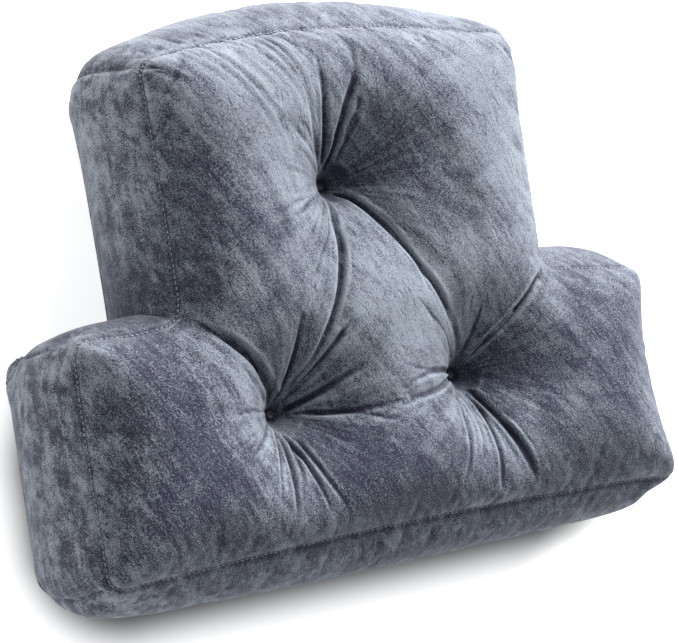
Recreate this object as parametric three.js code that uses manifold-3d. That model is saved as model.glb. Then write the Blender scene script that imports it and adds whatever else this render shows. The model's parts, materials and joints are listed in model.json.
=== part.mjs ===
// A tufted back-rest cushion: a tall back over a wider base whose two ends stand out as low arms.
// It lies on its back with its face up. X runs across it, Y from the base to the top of the back
// and Z through its thickness. Sizes are in millimetres.

import * as THREE from "three";
import { mergeVertices } from "three/addons/utils/BufferGeometryUtils.js";
import Module from "manifold-3d";

// The outline of the face panel along its seam. A row is a corner, the radius it is sewn to (below
// zero, an inner corner), how far the band swells out round it and how slowly the swell grows away
// from it, then the edge to the next corner: how far it bows out (below zero, how far it is drawn in),
// and how far the band swells at its middle.
const OUTLINE = [
  { corner: "base left", x: -289, y: -1, radius: 14, filled: 12, growth: 0.5, bow: -5, swell: 34 },
  { corner: "base right", x: 297, y: 3, radius: 13, filled: 9, growth: 0.25, bow: -10, swell: 8 },
  { corner: "right arm end", x: 293, y: 195, radius: 13, filled: 6, growth: 0.35, bow: 2, swell: 24 },
  { corner: "right arm root", x: 187, y: 207, radius: -10, filled: 3, growth: 0.8, bow: 2, swell: 9 },
  { corner: "top right", x: 188, y: 417, radius: 18, filled: 19, growth: 0.4, bow: 21, swell: 33 },
  { corner: "top left", x: -189, y: 415, radius: 14, filled: 10, growth: 0.8, bow: -1, swell: 13 },
  { corner: "left arm root", x: -187, y: 204, radius: -10, filled: 3, growth: 0.8, bow: -4, swell: 15 },
  { corner: "left arm end", x: -287, y: 201, radius: 16, filled: 0, growth: 0.8, bow: 1, swell: 10 },
];

// Grid cells across an arm and the back, up the base and up the back, and down the band.
const ARM_CELLS = 12;
const BACK_CELLS = 46;
const BASE_ROWS = 25;
const BACK_ROWS = 26;
const BAND_ROWS = 6;

// The band that joins face and back panel.
const BACK_SEAM_HEIGHT = 14;
const FACE_SEAM_HEIGHT = 140;
const BAND_FULLNESS = 0.8; // below 1 the band is fuller than a sine curve from seam to seam
const BACK_INSET = 9; // the back panel meets the surface this far inside its seam
const BACK_ROUNDING_ROWS = 2;

// The crown of the face: how far it rises over its seam, and over what distance from the seam.
const CROWN = 36;
const CROWN_ROLL = 78;

// The tufts: how far they are drawn below the face seam, and how wide the hollow spreads.
const TUFT_DEPTH = 38;
const TUFT_FLOOR = 4;
const TUFT_SPREAD = 38;
const GATHER_SHARE = 0.3; // cloth drawn towards a tuft, as a share of its distance
const GATHER_REACH = 60;
const TUFTS = {
  top: { x: -10, y: 303 },
  left: { x: -97, y: 117 },
  right: { x: 92, y: 126 },
};

// The main folds of the face, each a soft valley along an arc. A row starts at x, y, runs at a heading
// (degrees from X) and turns evenly along its length.
const FOLDS = [
  { fold: "top tuft, up", x: -13, y: 312, heading: 98, turn: -40, length: 105, width: 9, depth: 7 },
  { fold: "top tuft, up left", x: -22, y: 318, heading: 115, turn: -20, length: 92, width: 7, depth: 6 },
  { fold: "top to right tuft", x: -4, y: 297, heading: -48, turn: -34, length: 112, width: 11, depth: 9 },
  { fold: "into right tuft", x: 8, y: 284, heading: -64, turn: 12, length: 168, width: 11, depth: 8 },
  { fold: "top tuft, down left", x: -22, y: 291, heading: -122, turn: 14, length: 112, width: 8, depth: 6 },
  { fold: "top to left tuft", x: -24, y: 268, heading: -103, turn: -26, length: 158, width: 10, depth: 9 },
  { fold: "left tuft, up", x: -96, y: 128, heading: 82, turn: 3, length: 72, width: 7, depth: 5 },
  { fold: "left tuft, right", x: -89, y: 119, heading: 25, turn: 3, length: 74, width: 9, depth: 8 },
  { fold: "left to right tuft", x: -80, y: 114, heading: -5, turn: 11, length: 150, width: 8, depth: 6 },
  { fold: "left tuft to root", x: -98, y: 125, heading: 130, turn: 20, length: 122, width: 13, depth: 10 },
  { fold: "left tuft, down", x: -112, y: 108, heading: -98, turn: 2, length: 78, width: 7, depth: 6 },
  { fold: "left tuft, down right", x: -104, y: 100, heading: -72, turn: -4, length: 70, width: 7, depth: 5 },
  { fold: "right tuft to root", x: 100, y: 138, heading: 42, turn: 3, length: 92, width: 11, depth: 10 },
  { fold: "right tuft, down right", x: 95, y: 115, heading: -86, turn: 28, length: 96, width: 8, depth: 8 },
  { fold: "right tuft, down", x: 84, y: 114, heading: -78, turn: -22, length: 92, width: 7, depth: 6 },
  { fold: "right tuft, down left", x: 76, y: 108, heading: -122, turn: 14, length: 84, width: 7, depth: 5 },
];
const FOLD_STEPS = 24;
const FOLD_SKEW = 0.6; // below 1 a fold is deepest in the part nearer its start

// The small covered button sewn into each tuft, in a pocket a little wider than itself.
const BUTTON_RADIUS = 5;
const BUTTON_HEIGHT = 5;
const BUTTON_FLANK = 0.4; // share of its height below the dome
const DOME_STEPS = 5;
const BUTTON_SIDES = 20;
const BUTTON_GAP = 0.3;
const POCKET_DEPTH = 2;
const POCKET_TALL = 14;

const plush = new THREE.MeshStandardMaterial({ color: 0x6b7487, roughness: 0.9, metalness: 0 });
const button = new THREE.MeshStandardMaterial({ color: 0x3c404c, roughness: 0.85, metalness: 0 });

// The edge of the outline that leaves corner number `index`, as a function of 0 to 1.
// It starts and ends half-way round its rounded corners.
function outlineEdge(index) {
  const from = OUTLINE[index];
  const to = OUTLINE[(index + 1) % OUTLINE.length];
  const start = new THREE.Vector2(from.x, from.y);
  const along = new THREE.Vector2(to.x, to.y).sub(start);
  const length = along.length();
  along.normalize();
  const outward = new THREE.Vector2(along.y, -along.x);
  const halfArc = 1 - Math.SQRT1_2;
  const rounding = (radius, reach) => {
    const inside = Math.max(0, Math.abs(radius) - reach);
    return Math.sign(radius) * (Math.abs(radius) - Math.sqrt(radius * radius - inside * inside));
  };
  return (t) => {
    const first = halfArc * Math.abs(from.radius);
    const last = length - halfArc * Math.abs(to.radius);
    const reach = THREE.MathUtils.lerp(first, last, t);
    const share = reach / length;
    const bow = 4 * from.bow * share * (1 - share);
    const cut = rounding(from.radius, reach) + rounding(to.radius, length - reach);
    return start.clone().addScaledVector(along, reach).addScaledVector(outward, bow - cut);
  };
}

const EDGES = OUTLINE.map((row, index) => outlineEdge(index));
const [BASE_EDGE, RIGHT_END, RIGHT_ARM, RIGHT_SIDE, TOP_EDGE, LEFT_SIDE, LEFT_ARM, LEFT_END] = EDGES;

// A stretch of an edge, from one share of it to another.
const stretch = (edge, from, to) => (t) => edge(THREE.MathUtils.lerp(from, to, t));
const straight = (a, b) => (t) => a.clone().lerp(b, t);

// A Coons patch: the surface of the plan between four edges, each a function of 0 to 1.
function patch(low, high, left, right) {
  return (s, t) => {
    const across = low(s).lerp(high(s), t);
    const up = left(t).lerp(right(t), s);
    const corners = low(0).lerp(low(1), s).lerp(high(0).lerp(high(1), s), t);
    return across.add(up).sub(corners);
  };
}

// The plan of the face as a grid of columns and rows that follows the outline: two arms, the
// middle of the base between them, and the back over the middle.
function makePlan() {
  const armShare = 0.5 * (1 - (OUTLINE[3].x - OUTLINE[6].x) / (OUTLINE[1].x - OUTLINE[0].x));
  const leftFoot = BASE_EDGE(armShare);
  const rightFoot = BASE_EDGE(1 - armShare);
  const leftRoot = LEFT_ARM(0);
  const rightRoot = RIGHT_ARM(1);
  const leftLine = straight(leftFoot, leftRoot);
  const rightLine = straight(rightFoot, rightRoot);
  const waist = straight(leftRoot, rightRoot);
  const leftArm = patch(
    stretch(BASE_EDGE, 0, armShare), stretch(LEFT_ARM, 1, 0), stretch(LEFT_END, 1, 0), leftLine,
  );
  const middle = patch(stretch(BASE_EDGE, armShare, 1 - armShare), waist, leftLine, rightLine);
  const rightArm = patch(
    stretch(BASE_EDGE, 1 - armShare, 1), stretch(RIGHT_ARM, 1, 0), rightLine, RIGHT_END,
  );
  const back = patch(waist, stretch(TOP_EDGE, 1, 0), stretch(LEFT_SIDE, 1, 0), RIGHT_SIDE);
  return (column, row) => {
    const acrossBack = (column - ARM_CELLS) / BACK_CELLS;
    if (row > BASE_ROWS) return back(acrossBack, (row - BASE_ROWS) / BACK_ROWS);
    const upBase = row / BASE_ROWS;
    if (column < ARM_CELLS) return leftArm(column / ARM_CELLS, upBase);
    if (acrossBack <= 1) return middle(acrossBack, upBase);
    return rightArm((column - ARM_CELLS - BACK_CELLS) / ARM_CELLS, upBase);
  };
}

// The grid places along the seam, counter-clockwise seen from above, with the swell of the band there.
function seamRing() {
  const columns = 2 * ARM_CELLS + BACK_CELLS;
  const rows = BASE_ROWS + BACK_ROWS;
  const backEnd = ARM_CELLS + BACK_CELLS;
  const turns = [
    [0, 0], [columns, 0], [columns, BASE_ROWS], [backEnd, BASE_ROWS],
    [backEnd, rows], [ARM_CELLS, rows], [ARM_CELLS, BASE_ROWS], [0, BASE_ROWS],
  ];
  return turns.flatMap(([column, row], edge) => {
    const next = (edge + 1) % turns.length;
    const [nextColumn, nextRow] = turns[next];
    const steps = Math.abs(nextColumn - column) + Math.abs(nextRow - row);
    return Array.from({ length: steps }, (unused, step) => {
      const share = step / steps;
      const ends = THREE.MathUtils.lerp(OUTLINE[edge].filled, OUTLINE[next].filled, share);
      const growth = THREE.MathUtils.lerp(OUTLINE[edge].growth, OUTLINE[next].growth, share);
      return {
        column: column + Math.sign(nextColumn - column) * step,
        row: row + Math.sign(nextRow - row) * step,
        swell: THREE.MathUtils.lerp(ends, OUTLINE[edge].swell, Math.sin(Math.PI * share) ** growth),
      };
    });
  });
}

const plan = makePlan();
const ring = seamRing();
const outline = ring.map(({ column, row }) => plan(column, row));

// Cloth gathers towards the tufts, so the grid is finest where the face is steepest.
function gather(point) {
  const drawn = point.clone();
  for (const { x, y } of Object.values(TUFTS)) {
    const tuft = new THREE.Vector2(x, y);
    const nearness = Math.exp(-((point.distanceTo(tuft) / GATHER_REACH) ** 2));
    drawn.addScaledVector(tuft.sub(point), GATHER_SHARE * nearness);
  }
  return drawn;
}

function distanceToOutline(point) {
  const nearest = new THREE.Vector3();
  const line = new THREE.Line3();
  const target = new THREE.Vector3(point.x, point.y, 0);
  let distance = Infinity;
  outline.forEach((start, index) => {
    const end = outline[(index + 1) % outline.length];
    line.start.set(start.x, start.y, 0);
    line.end.set(end.x, end.y, 0);
    line.closestPointToPoint(target, true, nearest);
    distance = Math.min(distance, nearest.distanceTo(target));
  });
  return distance;
}

// The line of a fold as points a short step apart.
function foldLine({ x, y, heading, turn, length }) {
  const point = new THREE.Vector2(x, y);
  const step = length / FOLD_STEPS;
  return Array.from({ length: FOLD_STEPS + 1 }, (unused, index) => {
    const angle = THREE.MathUtils.degToRad(heading + (turn * (index + 0.5)) / FOLD_STEPS);
    const here = point.clone();
    point.add(new THREE.Vector2(Math.cos(angle), Math.sin(angle)).multiplyScalar(step));
    return here;
  });
}

const FOLD_LINES = FOLDS.map((fold) => ({ ...fold, line: foldLine(fold) }));

// Depth of a fold at a point of the plan.
function foldDepth({ line, width, depth }, point) {
  const distances = line.map((place) => Math.hypot(place.x - point.x, place.y - point.y));
  const nearest = Math.min(...distances);
  const share = distances.indexOf(nearest) / FOLD_STEPS;
  return depth * Math.sin(Math.PI * share ** FOLD_SKEW) * Math.exp(-((nearest / width) ** 2));
}

// Height of the face over its seam.
function faceHeight(point) {
  const inFromSeam = Math.min(1, distanceToOutline(point) / CROWN_ROLL);
  let height = CROWN * Math.sqrt(1 - (1 - inFromSeam) ** 2);
  for (const { x, y } of Object.values(TUFTS)) {
    const outside = Math.max(0, Math.hypot(point.x - x, point.y - y) - TUFT_FLOOR);
    height -= (CROWN + TUFT_DEPTH) * Math.exp(-outside / TUFT_SPREAD);
  }
  for (const fold of FOLD_LINES) height -= foldDepth(fold, point);
  return height;
}

// The filled cushion as one closed surface: face, band, rounded rim of the back and flat back.
function cushionGeometry() {
  const positions = [];
  const triangles = [];
  const heightOf = (point) => positions[3 * point + 2];
  const addPoint = (point, height) => positions.push(point.x, point.y, height) / 3 - 1;
  // A cell splits along the diagonal that is more nearly level, so that folds stay smooth.
  const addCell = (a, b, c, d) => {
    const level = Math.abs(heightOf(a) - heightOf(c)) <= Math.abs(heightOf(b) - heightOf(d));
    triangles.push(...(level ? [a, b, c, a, c, d] : [a, b, d, b, c, d]));
  };

  const columns = 2 * ARM_CELLS + BACK_CELLS;
  const inBack = (column) => column >= ARM_CELLS && column <= ARM_CELLS + BACK_CELLS;
  const keyOf = (column, row) => `${column},${row}`;
  const onSeam = new Set(ring.map(({ column, row }) => keyOf(column, row)));
  const places = new Map();
  for (let row = 0; row <= BASE_ROWS + BACK_ROWS; row += 1) {
    for (let column = 0; column <= columns; column += 1) {
      if (row > BASE_ROWS && !inBack(column)) continue;
      const key = keyOf(column, row);
      const point = onSeam.has(key) ? plan(column, row) : gather(plan(column, row));
      const height = onSeam.has(key) ? 0 : faceHeight(point);
      places.set(key, addPoint(point, FACE_SEAM_HEIGHT + height));
    }
  }
  for (let row = 0; row < BASE_ROWS + BACK_ROWS; row += 1) {
    for (let column = 0; column < columns; column += 1) {
      if (row >= BASE_ROWS && !(inBack(column) && inBack(column + 1))) continue;
      const at = (right, up) => places.get(keyOf(column + right, row + up));
      addCell(at(0, 0), at(1, 0), at(1, 1), at(0, 1));
    }
  }

  const outward = outline.map((point, index) => {
    const before = outline.at(index - 1);
    const after = outline[(index + 1) % outline.length];
    return new THREE.Vector2(after.y - before.y, before.x - after.x).normalize();
  });
  const addRing = (offset, height) => outline.map((point, index) =>
    addPoint(point.clone().addScaledVector(outward[index], offset(ring[index])), height));
  const joinRings = (upper, lower) => upper.forEach((start, index) => {
    const next = (index + 1) % upper.length;
    addCell(start, lower[index], lower[next], upper[next]);
  });

  let upper = ring.map(({ column, row }) => places.get(keyOf(column, row)));
  for (let row = 1; row <= BAND_ROWS; row += 1) {
    const share = row / BAND_ROWS;
    const height = THREE.MathUtils.lerp(FACE_SEAM_HEIGHT, BACK_SEAM_HEIGHT, share);
    const lower = addRing(({ swell }) => swell * Math.sin(Math.PI * share) ** BAND_FULLNESS, height);
    joinRings(upper, lower);
    upper = lower;
  }
  for (let row = 1; row <= BACK_ROUNDING_ROWS; row += 1) {
    const angle = (row / BACK_ROUNDING_ROWS) * (Math.PI / 2);
    const inset = BACK_INSET * (1 - Math.cos(angle));
    const lower = addRing(() => -inset, BACK_SEAM_HEIGHT * (1 - Math.sin(angle)));
    joinRings(upper, lower);
    upper = lower;
  }
  const rim = upper.map((place) => new THREE.Vector2(positions[3 * place], positions[3 * place + 1]));
  for (const [a, b, c] of THREE.ShapeUtils.triangulateShape(rim, [])) {
    triangles.push(upper[a], upper[c], upper[b]);
  }

  const geometry = new THREE.BufferGeometry();
  geometry.setAttribute("position", new THREE.Float32BufferAttribute(positions, 3));
  geometry.setIndex(triangles);
  return geometry;
}

function buttonGeometry() {
  const flank = BUTTON_FLANK * BUTTON_HEIGHT;
  const dome = Array.from({ length: DOME_STEPS }, (unused, step) => {
    const angle = (step / DOME_STEPS) * (Math.PI / 2);
    const height = THREE.MathUtils.lerp(flank, BUTTON_HEIGHT, Math.sin(angle));
    return new THREE.Vector2(BUTTON_RADIUS * Math.cos(angle), height);
  });
  const foot = [new THREE.Vector2(0, 0), new THREE.Vector2(BUTTON_RADIUS, 0)];
  const profile = [...foot, ...dome, new THREE.Vector2(0, BUTTON_HEIGHT)];
  return new THREE.LatheGeometry(profile, BUTTON_SIDES).rotateX(Math.PI / 2);
}

function pocketGeometry() {
  const radius = BUTTON_RADIUS + BUTTON_GAP;
  const pocket = new THREE.CylinderGeometry(radius, radius, POCKET_TALL, BUTTON_SIDES);
  return pocket.rotateX(Math.PI / 2).translate(0, 0, POCKET_TALL / 2);
}

const wasm = await Module();
wasm.setup();

// Solids for cutting, from a geometry whose shared vertices are merged.
function solidOf(geometry) {
  const bare = geometry.clone();
  bare.deleteAttribute("normal");
  bare.deleteAttribute("uv");
  const merged = mergeVertices(bare, 1e-4);
  return new wasm.Manifold(new wasm.Mesh({
    numProp: 3,
    vertProperties: new Float32Array(merged.attributes.position.array),
    triVerts: new Uint32Array(merged.index.array),
  }));
}

function geometryOf(solid) {
  const { numProp, vertProperties, triVerts } = solid.getMesh();
  const geometry = new THREE.BufferGeometry();
  geometry.setAttribute("position", new THREE.BufferAttribute(vertProperties, numProp));
  geometry.setIndex(new THREE.BufferAttribute(triVerts, 1));
  geometry.computeVertexNormals();
  return geometry;
}

const pocketFloor = (tuft) => FACE_SEAM_HEIGHT + faceHeight(tuft) - POCKET_DEPTH;
let cushion = solidOf(cushionGeometry());
for (const tuft of Object.values(TUFTS)) {
  const pocket = pocketGeometry().translate(tuft.x, tuft.y, pocketFloor(tuft));
  cushion = cushion.subtract(solidOf(pocket));
}

const pillow = new THREE.Mesh(geometryOf(cushion), plush);
pillow.name = "pillow";

const pieces = new THREE.Group();
pieces.add(pillow);
for (const [place, tuft] of Object.entries(TUFTS)) {
  const piece = new THREE.Mesh(buttonGeometry(), button);
  piece.name = `tuft_button_${place}`;
  piece.position.set(tuft.x, tuft.y, pocketFloor(tuft) + BUTTON_GAP);
  pieces.add(piece);
}

// The origin is under the middle of the cushion, on the surface it lies on.
const box = new THREE.Box3().setFromObject(pieces);
const middle = box.getCenter(new THREE.Vector3());
pieces.position.set(-middle.x, -middle.y, -box.min.z);

const lumbarPillow = new THREE.Group();
lumbarPillow.add(pieces);

export default lumbarPillow;
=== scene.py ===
# %% [markdown]
# # A tufted back-rest cushion
#
# The cushion is cut like an upside-down T: a tall back over a wider base whose ends stand out as
# low arms. It is boxed, which means that a face panel and a back panel are joined by a band that
# runs all round, and three covered buttons pull the face deep into the filling.
#
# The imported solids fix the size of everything. This lesson takes a copy of the soft solid, stuffs
# it as cloth, sews it, and gives it a plush finish.

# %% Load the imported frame
import json
import math

import bpy
import numpy as np
from mathutils import Matrix, Vector
from mathutils.kdtree import KDTree

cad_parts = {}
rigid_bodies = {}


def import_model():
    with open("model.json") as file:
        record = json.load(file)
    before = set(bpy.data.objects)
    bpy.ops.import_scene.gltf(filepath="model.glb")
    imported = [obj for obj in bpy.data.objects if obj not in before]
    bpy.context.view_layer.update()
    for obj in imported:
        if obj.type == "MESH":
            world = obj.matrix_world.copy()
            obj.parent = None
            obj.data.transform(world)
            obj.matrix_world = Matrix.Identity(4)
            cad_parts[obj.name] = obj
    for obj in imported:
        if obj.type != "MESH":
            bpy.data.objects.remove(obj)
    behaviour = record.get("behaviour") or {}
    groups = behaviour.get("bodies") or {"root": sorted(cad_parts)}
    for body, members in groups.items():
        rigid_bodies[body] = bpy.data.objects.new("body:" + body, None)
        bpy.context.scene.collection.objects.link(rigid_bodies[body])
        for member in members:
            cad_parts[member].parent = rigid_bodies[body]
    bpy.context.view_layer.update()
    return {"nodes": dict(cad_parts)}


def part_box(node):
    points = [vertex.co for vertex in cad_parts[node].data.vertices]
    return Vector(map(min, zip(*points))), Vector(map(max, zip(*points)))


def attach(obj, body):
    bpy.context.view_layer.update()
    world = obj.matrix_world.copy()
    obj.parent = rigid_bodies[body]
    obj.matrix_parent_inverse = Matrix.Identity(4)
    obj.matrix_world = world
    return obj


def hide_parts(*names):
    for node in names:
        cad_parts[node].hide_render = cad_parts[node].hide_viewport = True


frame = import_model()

MM = 0.001


def in_mm(metres):
    """Lengths in millimetres, rounded to be printed."""
    return np.round(np.array(metres) / MM, 1).tolist()


# %% [markdown]
# ## The camera
#
# A photograph's view can be found by eye, or by working out where a pinhole has to be for the
# corners of the seams to land where they do in the picture. The second way also gives the lens,
# so the cushion's edges run together as they do in the photograph. The camera's own axes are the
# part's axes turned about Y, then X, then Z, and the object's turn is the reverse of that.

# %% Camera at the photograph's angle
IMAGE_WIDTH = 679
FOCAL_PIXELS = 2265
SENSOR_MM = 36
CAMERA_AT = Vector((-1.0730, -0.1167, 1.7204))
YAW, PITCH, ROLL = (math.radians(angle) for angle in (33.19, -2.44, 9.57))

camera_axes = (Matrix.Rotation(ROLL, 3, "Z") @ Matrix.Rotation(PITCH, 3, "X")
               @ Matrix.Rotation(YAW, 3, "Y"))
bpy.ops.object.select_all(action="DESELECT")
bpy.ops.object.camera_add(location=CAMERA_AT, rotation=camera_axes.transposed().to_euler())
camera = bpy.context.object
camera.name = "photo_camera"
camera.data.sensor_width = SENSOR_MM
camera.data.lens = FOCAL_PIXELS / IMAGE_WIDTH * SENSOR_MM
bpy.context.scene.camera = camera
print("lens", round(camera.data.lens, 1), "mm")

# %% [markdown]
# ## Working on one piece at a time
#
# Blender's operators act on whatever is selected, and loading the frame leaves the solids
# selected. These helpers keep that in hand. The first ones select a piece or some of its vertices,
# others read and move whole tables of points at once, and the last ones make a mesh finer.

# %% Helpers for selecting
def set_mode(mode):
    bpy.ops.object.mode_set(mode=mode)


def only(piece):
    """Make one piece the only selected object, in object mode."""
    if bpy.context.object and bpy.context.object.mode != "OBJECT":
        set_mode("OBJECT")
    bpy.ops.object.select_all(action="DESELECT")
    piece.select_set(True)
    bpy.context.view_layer.objects.active = piece


def edit_vertices(piece, chosen):
    """Enter edit mode with just the chosen vertices selected, or with True all of them."""
    only(piece)
    mesh = piece.data
    bpy.context.tool_settings.mesh_select_mode = (True, False, False)
    mesh.polygons.foreach_set("select", np.zeros(len(mesh.polygons), bool))
    mesh.edges.foreach_set("select", np.zeros(len(mesh.edges), bool))
    every = np.broadcast_to(chosen, len(mesh.vertices))
    mesh.vertices.foreach_set("select", np.ascontiguousarray(every, bool))
    set_mode("EDIT")
    bpy.ops.mesh.select_mode(type="VERT")


# %% Helpers for moving and marking points
def points_of(piece, what="co"):
    """The vertices' places, or with what="normal" their normals, as rows of x, y, z."""
    rows = np.empty(len(piece.data.vertices) * 3)
    piece.data.vertices.foreach_get(what, rows)
    return rows.reshape(-1, 3)


def set_points(piece, rows):
    piece.data.vertices.foreach_set("co", np.ascontiguousarray(rows).ravel())
    piece.data.update()


def marks_of(piece, name):
    """A number that is kept at every vertex under a name."""
    values = np.empty(len(piece.data.vertices))
    piece.data.attributes[name].data.foreach_get("value", values)
    return values


def set_marks(piece, name, values):
    marks = piece.data.attributes.get(name) or piece.data.attributes.new(name, "FLOAT", "POINT")
    marks.data.foreach_set("value", np.ascontiguousarray(values, np.float32))


# %% Helpers for making a mesh finer
SMOOTH_SHARE = 0.5


def apply_step(piece, step):
    """Apply one modifier."""
    only(piece)
    bpy.ops.object.modifier_apply(modifier=step.name)


def subdivide_smoothly(piece):
    """One step of Catmull-Clark subdivision, applied."""
    step = piece.modifiers.new("finer", "SUBSURF")
    step.levels = step.render_levels = 1
    apply_step(piece, step)


def refine(piece, chosen, smoothing=0):
    """Cut the edges between the chosen vertices in half, then smooth that part so many times."""
    edit_vertices(piece, chosen)
    bpy.ops.mesh.subdivide(number_cuts=1, smoothness=0)
    if smoothing:
        bpy.ops.mesh.vertices_smooth(factor=SMOOTH_SHARE, repeat=smoothing)
    set_mode("OBJECT")


# %% [markdown]
# ## From a solid to a sewn cover
#
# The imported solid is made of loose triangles. Cloth folds best on an even mesh of squares, so the
# copy is merged and its triangles are joined in pairs. A voxel remesh would also give an even
# mesh, but it would wash out the two lines where the panels are sewn to the band, and those lines
# are what makes this a boxed cushion. Each button's pocket is drawn together to one point, which
# is where the needle goes through the face.

# %% Find the tufts
BUTTON_NAMES = ("top", "left", "right")

tufts = {}
for name in BUTTON_NAMES:
    low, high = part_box("tuft_button_" + name)
    tufts[name] = Vector(((low.x + high.x) / 2, (low.y + high.y) / 2, low.z))
tuft_rows = np.array([tuple(place) for place in tufts.values()])


def tuft_distance(rows):
    """How far each point is from the nearest tuft, seen from above."""
    return np.min([np.hypot(rows[:, 0] - t[0], rows[:, 1] - t[1]) for t in tuft_rows], axis=0)


print("tufts at", in_mm(tuft_rows), "mm")

# %% Copy the soft solid and join its triangles in pairs
MERGE = 0.01 * MM
POCKET = 8.5 * MM
HALF_TURN = math.pi

cushion = bpy.data.objects.new("cushion", frame["nodes"]["pillow"].data.copy())
bpy.context.scene.collection.objects.link(cushion)
cushion.data.materials.clear()
edit_vertices(cushion, True)
bpy.ops.mesh.remove_doubles(threshold=MERGE)
mid_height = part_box("pillow")[1].z / 2
for place in tuft_rows:
    set_mode("OBJECT")
    rows = points_of(cushion)
    near = np.hypot(rows[:, 0] - place[0], rows[:, 1] - place[1]) < POCKET
    edit_vertices(cushion, near & (rows[:, 2] > mid_height))
    bpy.ops.mesh.merge(type="CENTER")
bpy.ops.mesh.select_all(action="SELECT")
bpy.ops.mesh.tris_convert_to_quads(face_threshold=HALF_TURN, shape_threshold=HALF_TURN,
                                   topology_influence=1.0)
bpy.ops.mesh.normals_make_consistent(inside=False)
set_mode("OBJECT")
print("cover", len(cushion.data.vertices), "vertices,", len(cushion.data.polygons), "faces")

# %% Mark the two sewn lines and the face panel
FACE_SEAM = 140 * MM
BACK_SEAM = 14 * MM
SEAM_CREASE = 0.6
HALF = 0.5

rows = points_of(cushion)
for name, height in (("face_seam", FACE_SEAM), ("back_seam", BACK_SEAM)):
    on_line = np.abs(rows[:, 2] - height) < MERGE
    set_marks(cushion, name, on_line)
    edit_vertices(cushion, on_line)
    bpy.ops.mesh.mark_seam()
    bpy.ops.transform.edge_crease(value=SEAM_CREASE)
    set_mode("OBJECT")
    print(name, int(on_line.sum()), "vertices")

edit_vertices(cushion, (tuft_distance(rows) < MERGE + POCKET) & (rows[:, 2] >= mid_height))
bpy.ops.mesh.select_linked(delimit={"SEAM"})
set_mode("OBJECT")
panel = np.empty(len(cushion.data.vertices), bool)
cushion.data.vertices.foreach_get("select", panel)
set_marks(cushion, "face_panel", panel)
subdivide_smoothly(cushion)


def on_panel(piece):
    """Which vertices lie on the face panel."""
    return marks_of(piece, "face_panel") > HALF


print("face panel", int(panel.sum()), "of", len(panel), "vertices before the cover is refined")

# %% [markdown]
# ## Where the cloth is pleated
#
# Under each button the cloth is gathered into pleats that run out from the tufts in slow arcs, so
# each one is a row of a table: where it starts, which way it heads, how far it turns on its way,
# and how deep, wide and ridged it is. A pleat is a narrow valley with a rounded ridge on one side
# and a lower one on the other. The last rows are shallow pulls that run in from the upper seam.
# All rows are used twice: broad, so that the simulated cloth knows where to fold, and sharp, once
# it has settled.

# %% Lay out the pleats
CREASES = (
    # x, y, heading, turn, length, depth, half width, ridge, ridge side (1 is left of the heading)
    (-15, 90, 112, -22, 98, 3.6, 4.0, 1.8, 1),
    (-12, 86, 96, -41, 100, 3.2, 4.0, 2.0, 1),
    (-14, 86, 140, -46, 75, 1.8, 4.0, 1.0, 1),
    (-5, 76, -48, -34, 112, 5.0, 3.8, 2.4, -1),
    (5, 63, -65, 12, 169, 2.2, 3.6, 1.6, 1),
    (-18, 72, -112, 2, 108, 3.8, 3.4, 2.0, -1),
    (-28, 39, -107, -21, 151, 3.6, 3.8, 2.0, -1),
    (-47, -42, -130, 1, 63, 2.8, 3.6, 1.6, -1),
    (-97, -93, 82, 3, 70, 2.2, 3.6, 1.2, 1),
    (-94, -104, 25, 3, 73, 3.4, 3.8, 1.4, 1),
    (-77, -107, -14, 22, 58, 2.4, 3.2, 1.6, -1),
    (79, -95, -160, -20, 80, 3.0, 3.2, 1.7, 1),
    (77, -92, 168, 32, 76, 2.4, 3.2, 1.3, 1),
    (100, -78, 42, 3, 88, 4.0, 3.8, 2.2, 1),
    (95, -108, -78, 10, 88, 5.0, 3.4, 2.4, -1),
    (104, -140, -68, -4, 58, 2.8, 3.2, 2.2, 1),
    (91, -114, -88, -12, 84, 3.6, 3.2, 2.2, -1),
    (68, -112, -92, -34, 82, 2.6, 3.2, 1.7, -1),
    (80, -112, -90, -22, 60, 1.6, 3.2, 1.3, -1),
    (-108, -115, -125, 20, 66, 3.2, 3.0, 1.8, -1),
    (-108, -122, -106, 9, 70, 3.8, 3.0, 2.2, -1),
    (-104, -115, -83, -29, 54, 3.2, 3.0, 1.8, -1),
    (-102, -122, -83, 9, 70, 3.8, 3.0, 2.2, -1),
    (-94, -126, -84, 26, 68, 3.0, 3.0, 1.8, -1),
    (-99, -96, 130, 20, 120, 2.8, 4.6, 2.0, -1),
    (-110, -95, 148, -14, 55, 2.0, 4.0, 1.0, -1),
    (-144, 205, -53, -8, 122, 0.5, 4.2, 0.6, 1),
    (-134, 205, -50, -14, 126, 0.6, 4.0, 0.7, 1),
    (-116, 206, -54, -10, 110, 0.4, 4.4, 0.5, 1),
    (-93, 208, -60, 4, 86, 0.6, 3.8, 0.7, 1),
    (-80, 210, -63, -4, 94, 0.5, 3.6, 0.5, 1),
    (-71, 208, -62, -22, 98, 0.7, 3.8, 0.7, 1),
    (-55, 208, -68, 0, 54, 0.5, 3.6, 0.5, 1),
    (-161, 201, -42, -4, 64, 0.4, 3.8, 0.5, 1),
    (-186, 193, -52, 26, 44, 1.0, 4.4, 1.0, 1),
    (-188, 174, -40, -14, 46, 0.7, 5.0, 0.7, 1),
)
print(len(CREASES), "pleats, the longest", max(row[4] for row in CREASES), "mm")

# %% Follow a pleat
CREASE_STEP = 2 * MM
MARGIN = 28 * MM


def arc(x, y, heading, turn, length):
    """Points along an arc that starts at x, y in mm, and the direction at each."""
    count = max(3, int(length * MM / CREASE_STEP))
    share = (np.arange(count) + 0.5) / count
    angle = np.radians(heading + turn * share)
    run = np.stack([np.cos(angle), np.sin(angle)], axis=1)
    return np.array([x, y]) * MM + np.cumsum(run, axis=0) * length * MM / count, run


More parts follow.
